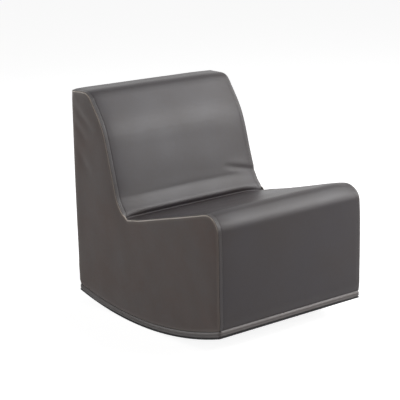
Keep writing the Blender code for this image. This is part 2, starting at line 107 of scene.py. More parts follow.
def colour_between(tree, factor, dark, light):
    """A colour that goes from dark to light with a factor."""
    ramp = tree.nodes.new("ShaderNodeValToRGB")
    tree.links.new(factor, ramp.inputs["Fac"])
    ramp.color_ramp.elements[0].color = (*dark, 1.0)
    ramp.color_ramp.elements[1].color = (*light, 1.0)
    return ramp.outputs["Color"]


def shaded(colour, share):
    """A colour made lighter or darker by a share."""
    return tuple(channel * share for channel in colour)


def tinted(tree, factor, colour, dark, light):
    """A colour that goes from a darker to a lighter share of itself with a factor."""
    return colour_between(tree, factor, shaded(colour, dark), shaded(colour, light))


def grip_material():
    """Black non-slip sheet with small raised dots in rows."""
    material, tree, shader = blank_material("sole_grip")
    place = object_place(tree)
    dots = add_node(tree, "ShaderNodeTexVoronoi", Vector=place, Scale=1 / DOT_SPACING, Randomness=0.0)
    raised = ranged(tree, dots.outputs["Distance"], (0.2, 0.3), (1.0, 0.0))
    tint = tinted(tree, noise_map(tree, place, 900.0, 3.0), SOLE_COLOUR, 0.7, 1.5)
    dress(tree, shader, tint, 0.85, raised, 0.6, 0.0006)
    return material


def foam_material(name, colour, cell):
    """Open-cell foam: small round pores, uneven in size."""
    material, tree, shader = blank_material(name)
    place = object_place(tree)
    pores = add_node(tree, "ShaderNodeTexVoronoi", Vector=place, Scale=1 / cell)
    tint = tinted(tree, noise_map(tree, place, 12.0, 4.0), colour, 0.75, 1.1)
    dress(tree, shader, tint, 0.95, pores.outputs["Distance"], 0.7, 0.0006)
    return material


def finish_node(node, material):
    """Give a CAD node its finish."""
    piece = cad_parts[node]
    piece.data.materials.clear()
    piece.data.materials.append(material)


finish_node("bottom_panel", grip_material())
finish_node("rocker_base_slab", foam_material("firm_foam", SLAB_COLOUR, 0.0011))


# Foam core
# Three blocks of cream upholstery foam, cut to the chair's profile and glued together.
# Each is the CAD block with its edges eased and its faces drawn in, so the cover lies over it.

FOAM_COLOUR = (0.62, 0.56, 0.42)
FOAM_EDGE = 0.010
FOAM_SHRINK = 0.0032
CREASE_Y = 0.085
CREASE_Z = 0.302
CREASE_CUTS = {"base": 0.0, "seat": 0.0, "backrest": 0.020}
FOAM_SHARP = 1.0
FLAT_WITHIN = math.radians(1.0)
SHADED_SHARP = 40.0
TOP_FROM = 0.50
TOP_RUN = 0.12
TOP_DROP = 0.0010
TOP_LEAN = 0.0150


def bump_curve(values, centre, width):
    """A smooth hump of height 1."""
    return np.exp(-(((values - centre) / width) ** 2))


# Where the settled form is drawn in or out: the centre, how far it reaches each way, and the move.
PULLS = (
    ((0.257, -0.300, 0.405), (0.035, 0.050, 0.035), (-0.0015, 0.0015, -0.0045)),
    ((0.257, 0.085, 0.306), (0.040, 0.030, 0.030), (0.0010, -0.0030, -0.0050)),
    ((0.257, -0.100, 0.350), (0.060, 0.120, 0.050), (0.0, 0.0, -0.0015)),
    ((0.257, 0.200, 0.560), (0.100, 0.060, 0.060), (-0.0010, 0.0030, 0.0)),
    ((0.257, 0.120, 0.370), (0.080, 0.050, 0.040), (0.0005, -0.0020, 0.0)),
    ((0.260, -0.330, 0.200), (0.030, 0.050, 0.090), (0.0016, -0.0008, 0.0)),
    ((-0.260, 0.333, 0.350), (0.030, 0.030, 0.330), (-0.0024, 0.0020, 0.0)),
    ((-0.262, 0.335, 0.647), (0.012, 0.030, 0.020), (0.0010, -0.0006, -0.0030)),
)


def pulled(places):
    """Foam and cover as they have settled: the top leans a little, and corners are drawn in or out."""
    moved = places.copy()
    high = np.clip((places[:, 2] - TOP_FROM) / TOP_RUN, 0.0, 1.0)
    moved[:, 2] -= high**2 * (3 - 2 * high) * (TOP_DROP + TOP_LEAN * places[:, 0])
    for centre, reach, shift in PULLS:
        away = np.linalg.norm((places - np.array(centre)) / np.array(reach), axis=1)
        moved += bump_curve(away, 0.0, 1.0)[:, None] * np.array(shift)
    return moved


def mesh_places(mesh):
    """The places of a mesh's points."""
    places = np.empty(3 * len(mesh.vertices))
    mesh.vertices.foreach_get("co", places)
    return places.reshape(-1, 3)


def merged_copy(node, name):
    """A copy of a CAD node whose loose triangles are joined into one surface."""
    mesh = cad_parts[node].data.copy()
    mesh.name = name
    bm = bmesh.new()
    bm.from_mesh(mesh)
    bmesh.ops.remove_doubles(bm, verts=bm.verts, dist=0.00002)
    for edge in bm.edges:
        edge.smooth = True
    bm.normal_update()
    return bm, mesh


def new_object(name, data):
    """An object in the scene."""
    made = bpy.data.objects.new(name, data)
    bpy.context.scene.collection.objects.link(made)
    return made


def new_piece(name, mesh, body, slot, *nodes):
    """An object that rides on a body and stands for CAD nodes, which it hides; its slot is not used."""
    piece = new_object(name, mesh)
    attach(piece, body)
    if nodes:
        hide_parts(*nodes)
    return piece


def eased_copy(node, name, sharp_from, width):
    """A merged copy of a CAD node with whole flat faces and its sharp edges rounded."""
    bm, mesh = merged_copy(node, name)
    bmesh.ops.dissolve_limit(bm, angle_limit=FLAT_WITHIN, verts=bm.verts, edges=bm.edges)
    sharp = [edge for edge in bm.edges if edge.is_manifold and edge.calc_face_angle() > sharp_from]
    bmesh.ops.bevel(bm, geom=sharp, offset=width, segments=2, profile=0.5, affect="EDGES", clamp_overlap=True)
    return bm, mesh


def give_finish(mesh, material, sharp_from=None):
    """Give a mesh its material and smooth shading, with its edges kept sharp from an angle on."""
    mesh.materials.clear()
    mesh.materials.append(material)
    mesh.shade_smooth()
    if sharp_from:
        mesh.set_sharp_from_angle(angle=math.radians(sharp_from))


def foam_piece(node, name, cut, material):
    """A foam block a little smaller than the CAD solid, with eased edges, cut back at the crease."""
    bm, mesh = eased_copy(node, name, FOAM_SHARP, FOAM_EDGE)
    bm.normal_update()
    for vertex in bm.verts:
        vertex.co -= vertex.normal * FOAM_SHRINK
    bm.to_mesh(mesh)
    bm.free()
    places = mesh_places(mesh)
    across, up = bump_curve(places[:, 1], CREASE_Y, 0.030), bump_curve(places[:, 2], CREASE_Z, 0.014)
    places[:, 1] += cut * up * across
    mesh.vertices.foreach_set("co", pulled(places).ravel())
    give_finish(mesh, material, SHADED_SHARP)
    piece = new_piece(name, mesh, "chair", "core_foam", node)


core_foam = foam_material("core_foam", FOAM_COLOUR, 0.0014)
for part, cut in CREASE_CUTS.items():
    foam_piece(f"{part}_foam", f"{part}_foam_block", cut, core_foam)


# Base band
# One strip of the cover's vinyl, sewn to the walls above it and to the sole below, all round the base.
# It is lofted as a closed ring: two soft ribs with a stitched groove between them, turned under below.

ROCKER_RADIUS = 1.211
REST_Y = 0.040
BAND_TOP_RADIUS = 1.191
BAND_FOOT_RADIUS = 1.2077
BAND_CORNER = 0.0075
BAND_STEP = 0.005
BAND_GROOVE = 0.0016
BAND_FOOT_INSET = 0.0034
BAND_TOP_INSET = 0.0036
BAND_INNER = (0.0045, 0.0047)
BAND_RIPPLE = 0.0003
BAND_WELD = 0.00001
BAND_HANG_REAR = 0.0022
BAND_HANG_FRONT = 0.0016
BAND_HEIGHTS = np.array(
    (0.0, 0.04, 0.09, 0.15, 0.22, 0.30, 0.38, 0.45, 0.52, 0.58, 0.64, 0.71, 0.78, 0.85, 0.91, 0.96, 1.0)
)
BAND_COLOUR = (0.070, 0.061, 0.060)
# The paler colour painted on the band's ribs, a painted highlight.
BAND_RIB_HIGHLIGHT = (0.230, 0.205, 0.195)
GRAIN_SIZE = 0.0012


def vinyl_grain():
    """A node group for pressed vinyl: pebble grain, faint wrinkles between, and slow changes of tone."""
    group = bpy.data.node_groups.new("vinyl_grain", "ShaderNodeTree")
    sockets = group.interface
    sockets.new_socket(name="Place", in_out="INPUT", socket_type="NodeSocketVector")
    sockets.new_socket(name="Grain per metre", in_out="INPUT", socket_type="NodeSocketFloat")
    sockets.new_socket(name="Height", in_out="OUTPUT", socket_type="NodeSocketFloat")
    sockets.new_socket(name="Tone", in_out="OUTPUT", socket_type="NodeSocketFloat")
    entry = group.nodes.new("NodeGroupInput")
    exit_node = group.nodes.new("NodeGroupOutput")
    place = entry.outputs["Place"]
    pebbles = add_node(group, "ShaderNodeTexVoronoi", Vector=place, Scale=entry.outputs["Grain per metre"])
    creases = add_node(group, "ShaderNodeTexNoise", Vector=place, Scale=260.0, Detail=5.0, Roughness=0.6)
    broad, fine = noise_map(group, place, 7.0, 3.0), noise_map(group, place, 90.0, 4.0)
    height = group.nodes.new("ShaderNodeMath")
    height.operation = "MULTIPLY_ADD"
    group.links.new(creases.outputs["Fac"], height.inputs[0])
    height.inputs[1].default_value = 0.55
    group.links.new(pebbles.outputs["Distance"], height.inputs[2])
    tone = add_node(group, "ShaderNodeMix", Factor=0.35, A=broad, B=fine)
    set_inputs(group, exit_node, Height=height.outputs["Value"], Tone=tone.outputs["Result"])
    return group


VINYL_GRAIN = vinyl_grain()


def vinyl_material(name, colour, warm, edge, roughness):
    """Satin upholstery vinyl, paler at its rolled edges and ribs: partly real edge wear, partly a painted
    highlight where they face up.
    """
    material, tree, shader = blank_material(name)
    grain = tree.nodes.new("ShaderNodeGroup")
    grain.node_tree = VINYL_GRAIN
    set_inputs(tree, grain, Place=object_place(tree), Grain_per_metre=1 / GRAIN_SIZE)
    tone = ranged(tree, grain.outputs["Tone"], (0.35, 0.65), (0.0, 1.0))
    base = colour_between(tree, tone, shaded(warm, 0.93), shaded(colour, 1.06))
    wear = tree.nodes.new("ShaderNodeAttribute")
    wear.attribute_name = "wear"
    worn_and_lit = tree.nodes.new("ShaderNodeMix")
    worn_and_lit.data_type = "RGBA"
    # The pale edge colour is blended in by the attribute: real edge wear where it is even, a painted
    # highlight where it follows which way the surface faces.
    set_inputs(tree, worn_and_lit, Factor=wear.outputs["Fac"], A=base, B=(*edge, 1.0))
    sheen = ranged(tree, grain.outputs["Tone"], (0.3, 0.7), (roughness + 0.05, roughness - 0.04))
    shader.inputs["Specular IOR Level"].default_value = 0.33
    dress(tree, shader, worn_and_lit.outputs["Result"], sheen, grain.outputs["Height"], 0.35, 0.00025)
    return material


def ring_path(half_x, half_y, corner, step):
    """Places and outward directions round a rectangle with round corners, seen from above."""
    turns = np.linspace(0.0, math.pi / 2, 9)
    arcs = []
    for quarter, (across, along) in enumerate(((1, 1), (-1, 1), (-1, -1), (1, -1))):
        angle = turns + quarter * math.pi / 2
        out = np.column_stack((np.cos(angle), np.sin(angle)))
        centre = np.array((across * (half_x - corner), along * (half_y - corner)))
        arcs.append((centre + corner * out, out))
    places, outs = [], []
    for (here, out), (following, _) in zip(arcs, arcs[1:] + arcs[:1]):
        gap = following[0] - here[-1]
        count = int(np.linalg.norm(gap) / step)
        share = np.arange(1, count)[:, None] / count
        places += [here, here[-1] + gap * share]
        outs += [out, np.repeat(out[-1:], count - 1, axis=0)]
    return np.vstack(places), np.vstack(outs)


def arc_height(y, radius):
    """Height of an arc about the rocker's centre line."""
    return ROCKER_RADIUS - np.sqrt(radius**2 - (y - REST_Y) ** 2)


def band_section(groove):
    """The band's cut face: how far in from its outermost line it is at each of its heights."""
    inset = BAND_FOOT_INSET * np.clip(1 - BAND_HEIGHTS / 0.42, 0, 1) ** 1.7
    inset += BAND_TOP_INSET * np.clip((BAND_HEIGHTS - 0.62) / 0.38, 0, 1) ** 1.9
    return inset + groove * bump_curve(BAND_HEIGHTS, 0.52, 0.060)


def grid_mesh(name, rows, closed_rows):
    """A mesh of quads on a grid of places. With closed rows the last row is joined to the first."""
    count, width = rows.shape[:2]
    faces = []
    for row in range(count if closed_rows else count - 1):
        below = (row + 1) % count
        for column in range(width - 1):
            a, b = row * width + column, below * width + column
            faces.append((a, b, b + 1, a + 1))
    mesh = bpy.data.meshes.new(name)
    mesh.from_pydata(rows.reshape(-1, 3).tolist(), [], faces)
    return mesh


def give_wear(mesh, wear):
    """How much each point of a piece is paled, from 0 to 1, for its material: partly edge wear, partly a
    painted highlight.
    """
    layer = mesh.attributes.new("wear", "FLOAT", "POINT")
    layer.data.foreach_set("value", np.ascontiguousarray(wear, dtype=np.float32).ravel())


def weld(mesh, reach, open_ends):
    """Join a mesh's doubled points, close its ends where they are open, and turn its faces out."""
    bm = bmesh.new()
    bm.from_mesh(mesh)
    bmesh.ops.remove_doubles(bm, verts=bm.verts, dist=reach)
    if open_ends:
        bmesh.ops.holes_fill(bm, edges=bm.edges)
    bmesh.ops.recalc_face_normals(bm, faces=bm.faces)
    bm.to_mesh(mesh)
    bm.free()


def base_band(material):
    """The whole band as one closed ring."""
    low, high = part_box("front_base_band")
    places, outs = ring_path(high[0], -low[1], BAND_CORNER, BAND_STEP)
    # Painted highlight: the tops of the band's two ribs are paled as if lit.
    rib_wear = 0.50 * bump_curve(BAND_HEIGHTS, 0.74, 0.14) + 0.30 * bump_curve(BAND_HEIGHTS, 0.38, 0.10)
    rows, wear = [], []
    for (x, y), out in zip(places, outs):
        on_side = abs(out[0])
        along = np.clip((0.24 - abs(y + 0.02)) / 0.10, 0.0, 1.0)
        inset = band_section(BAND_GROOVE * (0.30 + 0.70 * on_side * along))
        ripple = BAND_RIPPLE * noise.noise(Vector((x * 60, y * 60, 1.0)))
        foot, top = arc_height(y, BAND_FOOT_RADIUS), arc_height(y, BAND_TOP_RADIUS)
        reach = np.concatenate((inset + ripple, BAND_INNER, inset[:1]))
        section = np.empty((len(reach), 3))
        section[:, 0] = x - out[0] * reach
        section[:, 1] = y - out[1] * reach
        section[:, 2] = foot + (top - foot) * np.concatenate((BAND_HEIGHTS, (0.99, 0.02, 0.0)))
        hang = BAND_HANG_REAR * bump_curve(y, 0.245, 0.060) * (x < 0)
        hang += BAND_HANG_FRONT * bump_curve(x, 0.235, 0.045) * (y < 0)
        section[:, 2] -= hang * (1 - np.concatenate((BAND_HEIGHTS, (1.0, 0.0, 0.0))))
        rows.append(section)
        wear.append(np.concatenate((rib_wear, (0.0, 0.0, 0.0))))
    mesh = grid_mesh("base_band", np.array(rows), True)
    give_wear(mesh, np.array(wear))
    weld(mesh, BAND_WELD, False)
    give_finish(mesh, material)
    nodes = [f"{side}_base_band" for side in ("front", "rear", "left", "right")]
    new_piece("base_band", mesh, "chair", "base_band", *nodes)


BAND_VINYL = vinyl_material("band_vinyl", BAND_COLOUR, BAND_COLOUR, BAND_RIB_HIGHLIGHT, 0.40)
base_band(BAND_VINYL)


# Cover strip
# Vinyl in three panels, sewn end to end: up the front and over the seat, up the backrest, down the rear.
# Each panel takes its CAD outline, is let settle as cloth, and then gets its seams, folds and stitched edges.

STRIP_COLOUR = (0.0250, 0.0205, 0.0240)
STRIP_WARM = (0.0275, 0.0205, 0.0205)
# The pale colour of the strip's rolled edges: partly worn edge, partly a painted highlight.
STRIP_EDGE_WEAR_AND_HIGHLIGHT = (0.560, 0.520, 0.490)
STRIP_ROUGHNESS = 0.38
COVER_SHEET = 0.0013
EDGE_REACH = 0.0015
SEAM_WIDTH = 0.0020
SEAM_DEPTH = 0.0004
STITCH_LINE = 0.0110
STITCH_STATION = 12
STITCH_GROOVE = 0.0003
EDGE_SQUEEZE = 0.0003
STRIP_UNEVEN = (0.090, 0.0005)
CALM_WITHIN = 0.03
CLOTH_STEP = 0.0065
HELD_WITHIN = 0.009
SLACK_WITHIN = 0.040
FOLD_SHARE = 0.12
FOLD_LIMIT = 0.0008
FOLD_ROUNDS = 60
CLOTH_FRAMES = 20
EDGE_STIFFNESS = 0.65
# Columns of points beside a strip's edge, in millimetres from it.
EDGE_STATIONS = np.array(
    (0.0, 0.4, 0.9, 1.5, 2.2, 3.0, 4.0, 5.2, 6.6, 8.2, 9.6, 10.4, 11.0, 11.6, 12.4, 14.0, 17.0, 21.0, 26.0)
)
COLUMN_STEP = 0.005
# A strip's rows: coarse ones in the middle, fine ones at the ends, and how soon they coarsen.
ROW_STEPS = (0.0045, 0.0009, 0.022)


def outer_side(bm, facing):
    """The faces of a panel's outer side, spread out from the one that faces a direction most."""
    start = max(bm.faces, key=lambda face: face.normal.dot(facing) - 0.04 * abs(face.calc_center_median().x))
    found, waiting = {start}, [start]
    while waiting:
        face = waiting.pop()
        for edge in face.edges:
            if len(edge.link_faces) == 2 and edge.calc_face_angle() < math.radians(50.0):
                for other in edge.link_faces:
                    if other not in found:
                        found.add(other)
                        waiting.append(other)
    return found


def neighbours(edges):
    """For each point that some edges join, the points at their other ends."""
    joined = {}
    for edge in edges:
        a, b = edge.verts
        joined.setdefault(a, []).append(b)
        joined.setdefault(b, []).append(a)
    return joined


def walked(joined, start):
    """The places, seen from the side, of the points that follow one another from a start on."""
    line, seen = [start], {start}
    while True:
        ahead = [vertex for vertex in joined[line[-1]] if vertex not in seen]
        if not ahead:
            return np.array([tuple(vertex.co) for vertex in line])[:, 1:]
        seen.add(ahead[0])
        line.append(ahead[0])


def open_line(edges):
    """The line that some edges make, from its lowest end on."""
    joined = neighbours(edges)
    ends = [vertex for vertex in joined if len(joined[vertex]) == 1]
    return walked(joined, min(ends, key=lambda vertex: vertex.co.z))


def seam_and_middle(bm, skin):
    """A strip panel's lines at its side seam and midway between its side seams."""
    edge_x = max(vertex.co.x for face in skin for vertex in face.verts)
    edges = {edge for face in skin for edge in face.edges}
    on_seam = [edge for edge in edges if all(abs(vertex.co.x - edge_x) < 0.00005 for vertex in edge.verts)]
    seam = open_line(on_seam)
    whole = list(skin) + list(edges) + list({vertex for face in skin for vertex in face.verts})
    # The cut is just beside the middle, where no edge of the panel already lies.
    cut = bmesh.ops.bisect_plane(bm, geom=whole, dist=0.000001, plane_co=(0.0003, 0, 0), plane_no=(1, 0, 0))
    middle = open_line([piece for piece in cut["geom_cut"] if isinstance(piece, bmesh.types.BMEdge)])
    return seam, middle, edge_x


def run_lengths(points):
    """How far along a line each of its points is."""
    steps = np.linalg.norm(np.diff(points, axis=0), axis=1)
    return np.concatenate(((0.0,), np.cumsum(steps)))


def through(stations, values, wanted):
    """A smooth curve through values at stations, read at the wanted ones."""
    slopes = np.gradient(values, stations, axis=0)
    index = np.clip(np.searchsorted(stations, wanted) - 1, 0, len(stations) - 2)
    gap = (stations[index + 1] - stations[index])[:, None]
    t = (wanted[:, None] - stations[index][:, None]) / gap
    start, end = values[index], values[index + 1]
    leave, arrive = slopes[index] * gap, slopes[index + 1] * gap
    curve = start * (2 * t**3 - 3 * t**2 + 1) + end * (3 * t**2 - 2 * t**3)
    return curve + leave * (t**3 - 2 * t**2 + t) + arrive * (t**3 - t**2)


def graded(length, coarse, fine, run):
    """Stations along a length, fine at both ends and coarser in between."""
    stations = [0.0]
    while stations[-1] < length / 2:
        share = min(1.0, stations[-1] / run)
        stations.append(stations[-1] + fine + (coarse - fine) * share)
    half = np.array(stations) * (length / 2) / stations[-1]
    return np.concatenate((half, length - half[-2::-1]))


def panel_form(node, facing):
    """A function of places along and across a strip panel, from its CAD outline, and its length."""
    bm, mesh = merged_copy(node, node)
    skin = outer_side(bm, Vector(facing))
    seam, middle, edge_x = seam_and_middle(bm, skin)
    bm.free()
    bpy.data.meshes.remove(mesh)
    lengths = run_lengths(seam)
    middle_lengths = run_lengths(middle)
    middle_lengths *= lengths[-1] / middle_lengths[-1]

    def place(along, across):
        at_seam = through(lengths, seam, along)
        rise = through(middle_lengths, middle, along) - at_seam
        share = 1 - np.abs(across / edge_x) ** 8
        grid = np.empty((len(along), len(across), 3))
        grid[:, :, 0] = across[None, :]
        grid[:, :, 1:] = at_seam[:, None, :] + rise[:, None, :] * share[None, :, None]
        return grid

    return place, lengths[-1], edge_x


def smoothed(values, edges, rounds):
    """Values at a mesh's points, evened out between neighbours."""
    count = len(values)
    ends = np.concatenate((edges[:, 0], edges[:, 1]))
    others = np.concatenate((edges[:, 1], edges[:, 0]))
    shares = np.maximum(np.bincount(ends, minlength=count), 1)
    result = values.copy()
    for _ in range(rounds):
        for axis in range(values.shape[1]):
            around = np.bincount(ends, weights=result[others, axis], minlength=count) / shares
            result[:, axis] = 0.5 * result[:, axis] + 0.5 * around
    return result


def mesh_edges(mesh):
    """The pairs of points that a mesh joins."""
    pairs = np.empty(2 * len(mesh.edges), dtype=np.int32)
    mesh.edges.foreach_get("vertices", pairs)
    return pairs.reshape(-1, 2)


def mesh_normals(mesh):
    """The directions in which a mesh's points face."""
    normals = np.empty(3 * len(mesh.vertices))
    mesh.vertex_normals.foreach_get("vector", normals)
    return normals.reshape(-1, 3)


def faced_out(mesh, facing):
    """A mesh turned so that its faces point out."""
    if mesh_normals(mesh).mean(axis=0) @ np.array(facing) < 0:
        mesh.flip_normals()
    return mesh


def settled_folds(mesh, seam_distance):
    """The small folds of a panel that its filling pushes out, held at its seams and a little slack there."""
    sheet = new_object("settling_panel", mesh)
    held = sheet.vertex_groups.new(name="held")
    slack = sheet.vertex_groups.new(name="slack")
    for index, distance in enumerate(seam_distance):
        if distance < HELD_WITHIN:
            held.add([index], 1.0, "REPLACE")
        slack.add([index], float(np.exp(-distance / SLACK_WITHIN)), "REPLACE")
    start = mesh_places(mesh)
    cloth = sheet.modifiers.new("cloth", "CLOTH")
    settings = cloth.settings
    settings.quality = 5
    settings.mass = 0.4
    settings.tension_stiffness = 25.0
    settings.compression_stiffness = 25.0
    settings.shear_stiffness = 15.0
    settings.bending_stiffness = 0.8
    settings.use_pressure = True
    settings.uniform_pressure_force = 4.0
    settings.vertex_group_mass = "held"
    settings.vertex_group_shrink = "slack"
    settings.shrink_min = 0.0
    settings.shrink_max = -0.010
    settings.effector_weights.gravity = 0.0
    cloth.point_cache.frame_start = 1
    cloth.point_cache.frame_end = CLOTH_FRAMES
    for moment in range(1, CLOTH_FRAMES + 1):
        bpy.context.scene.frame_set(moment)
    evaluated = sheet.evaluated_get(bpy.context.evaluated_depsgraph_get())
    moved = mesh_places(evaluated.data) - start
    bpy.data.objects.remove(sheet)
    bpy.context.scene.frame_set(1)
    folds = moved - smoothed(moved, mesh_edges(mesh), FOLD_ROUNDS)
    size = np.linalg.norm(folds, axis=1, keepdims=True)
    return FOLD_LIMIT * np.tanh(FOLD_SHARE * size / FOLD_LIMIT) * folds / np.maximum(size, 1e-9)


def carried(places, from_places, values):
    """Values at some places, read at others nearby."""
    tree = kdtree.KDTree(len(from_places))
    for index, place in enumerate(from_places):
        tree.insert(place, index)
    tree.balance()
    result = np.zeros((len(places), values.shape[1]))
    for row, place in enumerate(places):
        near = tree.find_n(place, 4)
        weights = np.array([1 / (entry[2] + 0.0006) ** 2 for entry in near])
        result[row] = weights @ values[[entry[1] for entry in near]] / weights.sum()
    return result


def rolled(distance, width, depth):
    """How far a sheet turns in at a seam: a quarter round of that width and depth."""
    share = np.clip(1 - distance / width, 0.0, 1.0)
    return depth * (1 - np.sqrt(np.clip(1 - share**2, 0.0, 1.0)))


def sunk(distance, width, depth):
    """How far a sheet sinks towards its end, more and more over that width."""
    return depth * np.clip(1 - distance / width, 0.0, 1.0) ** 2


def curled(rows, gap, ease, width, angle):
    """Rows of places whose first ones turn under, more and more towards the end."""
    steps = rows[:-1] - rows[1:]
    share = np.clip(1 - (gap[:-1] + gap[1:]) / (2 * width), 0.0, 1.0)
    turn = angle * share[:, None] * ease[None, :]
    y, z = steps[..., 1].copy(), steps[..., 2].copy()
    steps[..., 1] = y * np.cos(turn) - z * np.sin(turn)
    steps[..., 2] = y * np.sin(turn) + z * np.cos(turn)
    result = rows.copy()
    result[:-1] = rows[-1] + np.cumsum(steps[::-1], axis=0)[::-1]
    return result


def fold_line(places, start, end, width, depth):
    """The rise and fall about a crease between two places, deepest midway, with a soft ridge each side."""
    start, end = np.array(start), np.array(end)
    along = end - start
    share = np.clip((places - start) @ along / (along @ along), 0.0, 1.0)
    away = np.linalg.norm(places - start - share[:, None] * along, axis=1)
    taper = np.sin(math.pi * (0.12 + 0.80 * share))
    ridge = 0.35 * bump_curve(away, 2.3 * width, 1.3 * width)
    return depth * taper * (ridge - bump_curve(away, 0.0, width))


def undulation(places, size, height):
    """Slow, low unevenness of a filled cover."""
    return np.array([height * noise.noise(Vector(place) / size) for place in places])


def settled_strip(node, facing, full, end_rolls, curl=()):
    """A settled strip panel: its points, which way they face, and how far each is lifted.

    For each end in end_rolls (0 or 1), it sinks over a width to a depth, and is tucked on by a distance.
    """
    place, length, edge_x = panel_form(node, facing)
    edge_x += EDGE_REACH
    edge = EDGE_STATIONS / 1000
    inner = np.linspace(edge[-1], edge_x, int((edge_x - edge[-1]) / COLUMN_STEP))[1:]
    half = edge_x - np.concatenate((edge, inner))
    across = np.concatenate((-half, half[-2::-1]))
    along = graded(length, *ROW_STEPS)
    shape = (len(along), len(across), 3)
    mesh = faced_out(grid_mesh(node, place(along, across), False), facing)
    panel = SimpleNamespace(node=node, mesh=mesh, columns=len(across))
    panel.places = mesh_places(mesh)
    along_all, across_all = np.repeat(along, len(across)), np.tile(across, len(along))
    side_gap = edge_x - np.abs(across_all)
    rows = np.linspace(0.0, length, round(length / CLOTH_STEP) + 1)
    columns = np.linspace(-edge_x, edge_x, round(2 * edge_x / CLOTH_STEP) + 1)
    coarse = faced_out(grid_mesh(f"{node}_cloth", place(rows, columns), False), facing)
    row_gap = np.minimum(rows, length - rows)
    gaps = np.minimum(row_gap[:, None], (edge_x - np.abs(columns))[None, :]).ravel()
    panel.places = panel.places + carried(panel.places, mesh_places(coarse), settled_folds(coarse, gaps))
    eased = 1 - EDGE_STIFFNESS * np.exp(-side_gap / 0.030)
    if curl:
        panel.places = curled(panel.places.reshape(shape), along, eased[: len(across)], *curl).reshape(-1, 3)
        mesh.vertices.foreach_set("co", panel.places.ravel())
        mesh.update()
    panel.normals = mesh_normals(mesh)
    turned_in = rolled(side_gap, SEAM_WIDTH, SEAM_DEPTH) ** 2
    panel.lift = full + undulation(panel.places, *STRIP_UNEVEN) * np.clip(side_gap / CALM_WITHIN, 0.0, 1.0)
    panel.lift -= EDGE_SQUEEZE * np.exp(-np.clip(side_gap - STITCH_LINE, 0.0, None) / 0.010)
    panel.lift -= STITCH_GROOVE * bump_curve(side_gap, STITCH_LINE, 0.0010)
    onward = np.gradient(panel.places.reshape(shape), axis=0).reshape(-1, 3)
    onward /= np.linalg.norm(onward, axis=1)[:, None]
    for end, width, depth, tuck in end_rolls:
        gap = along_all if end == 0 else length - along_all
        turned_in += (eased * sunk(gap, width, depth)) ** 2
        share = eased * np.clip(1 - gap / width, 0.0, 1.0)
        panel.places = panel.places + (2 * end - 1) * tuck * share[:, None] * onward
    panel.lift -= np.sqrt(turned_in)
    # Painted highlight: the rolled edge beside the seam is paled more where it faces up, on top of a little
    # even edge wear; a faint paler band lies about 6 mm in from the seam.
    upward = np.clip(panel.normals[:, 2], 0.0, 0.6)
    panel.wear = (0.03 + 0.25 * upward) * bump_curve(side_gap, 0.0012, 0.0014)
    panel.wear += 0.04 * bump_curve(side_gap, 0.0060, 0.0035)
    return panel


def cover_piece(node, mesh, wear, slot, material):
    """A panel of the cover as a piece, with its edge wear and painted highlight, and the thickness of its
    vinyl.
    """
    give_wear(mesh, wear)
    give_finish(mesh, material)
    piece = new_piece(f"{node}_cover", mesh, "chair", slot, node)
    sheet = piece.modifiers.new("thickness", "SOLIDIFY")
    sheet.thickness = COVER_SHEET
    sheet.offset = -1.0


def finish_strip(panel, folds, material):
    """Fold a panel, put its points in their last places, and give the lines of its two rows of stitches."""
    for fold in folds:
        panel.lift += fold_line(panel.places, *fold)
    settled = panel.places + panel.normals * panel.lift[:, None]
    panel.edges = settled.reshape(-1, panel.columns, 3)[:, (0, -1), 1:]
    final = pulled(settled)
    panel.mesh.vertices.foreach_set("co", final.ravel())
    panel.mesh.update()
    cover_piece(panel.node, panel.mesh, panel.wear, "strip_vinyl", material)
    grid = final.reshape(-1, panel.columns, 3)
    return [grid[4:-4, column] for column in (STITCH_STATION, panel.columns - 1 - STITCH_STATION)]


STRIP_VINYL = vinyl_material("strip_vinyl", STRIP_COLOUR, STRIP_WARM, STRIP_EDGE_WEAR_AND_HIGHLIGHT, STRIP_ROUGHNESS)

# Each fold runs from one place to another, with its width and depth.
SEAT_FOLDS = [((0.257, 0.070, 0.306), (0.190, 0.060, 0.309), 0.004, 0.0010)]
BACK_FOLDS = [
    ((0.290, 0.1258, 0.350), (0.150, 0.1300, 0.384), 0.0070, 0.0018),
    ((0.275, 0.0955, 0.318), (0.205, 0.0890, 0.312), 0.0036, 0.0010),
    ((-0.250, 0.0930, 0.325), (-0.160, 0.0870, 0.316), 0.0050, 0.0008),
]
for height in (0.6206, 0.6021, 0.5863):
    y = 0.233 - (0.6206 - height) * 0.72
    BACK_FOLDS.append(((-0.262, y, height), (-0.243, y, height), 0.0018, 0.0009))
FULLNESS = 0.0012
SEAT_ENDS = ((0, 0.004, 0.0016, 0.0), (1, 0.024, 0.0043, 0.0210))
BACK_ENDS = ((1, 0.004, 0.0010, 0.0),)
BACK_CURL = (0.028, math.radians(115.0))
REAR_ENDS = ((0, 0.003, 0.0012, 0.0), (1, 0.003, 0.0010, 0.0))

seat = settled_strip("seat_panel", (0.0, -1.0, 0.0), FULLNESS, SEAT_ENDS)
stitch_lines = finish_strip(seat, SEAT_FOLDS, STRIP_VINYL)
back = settled_strip("backrest_panel", (0.0, -1.0, 0.3), FULLNESS, BACK_ENDS, BACK_CURL)
stitch_lines += finish_strip(back, BACK_FOLDS, STRIP_VINYL)
rear = settled_strip("rear_panel", (0.0, 1.0, 0.0), 0.0, REAR_ENDS)
stitch_lines += finish_strip(rear, (), STRIP_VINYL)


# Side panels
# Two flat-cut vinyl sides, sewn to the strip all round, with their edges rolled in at the seam.
# Each fills the CAD panel's outline with rings of points along the seam and an even field inside.

SIDE_COLOUR = (0.056, 0.041, 0.037)
SIDE_WARM = (0.067, 0.041, 0.033)
# The pale colour of the sides' rolled rims: partly worn edge, mostly a painted highlight.
SIDE_EDGE_WEAR_AND_HIGHLIGHT = (0.780, 0.690, 0.610)
